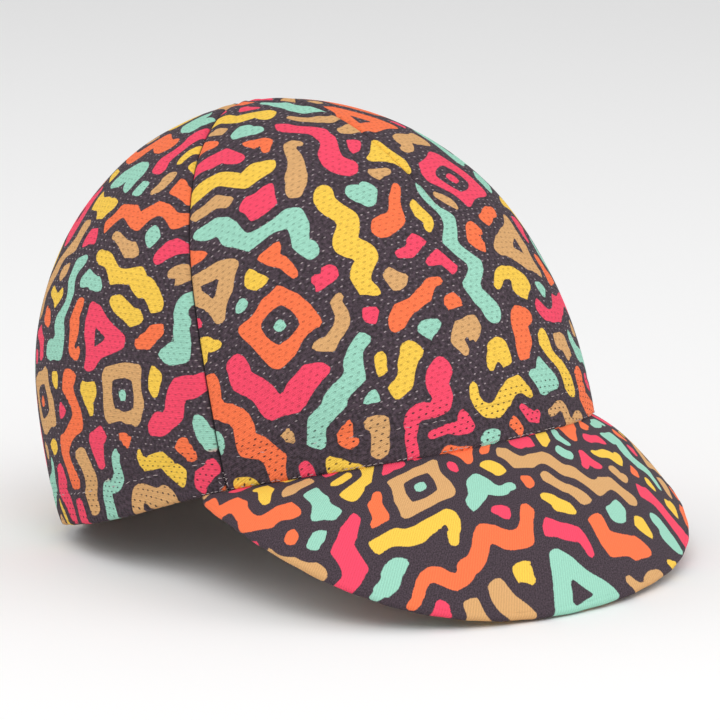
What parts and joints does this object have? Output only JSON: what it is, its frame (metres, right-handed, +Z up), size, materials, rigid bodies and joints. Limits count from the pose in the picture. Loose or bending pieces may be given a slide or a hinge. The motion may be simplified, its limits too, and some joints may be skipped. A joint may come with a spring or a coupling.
{
  "type": "cycling cap",
  "caption": "Soft cycling cap with a rounded panelled crown, a folded hem gathered at the back and a short drooping peak.",
  "frame": {"origin": "on the surface it rests on, under the middle of its outline", "axes": "-Y towards the peak, -X towards the wearer's right, +Z up"},
  "size_m": [0.1754, 0.2352, 0.1486],
  "materials": {
    "crown_knit": "matte pin-hole knit with an all-over print",
    "hem_knit": "matte pin-hole knit, folded double",
    "peak_twill": "matte fine twill with an all-over print"
  },
  "bodies": {
    "root": {"front_panel": "crown_knit", "back_panel_left": "crown_knit", "back_panel_right": "crown_knit", "front_hem": "hem_knit", "elastic_back_hem": "hem_knit", "peak_top": "peak_twill", "peak_underside": "peak_twill"}
  },
  "joints": []
}
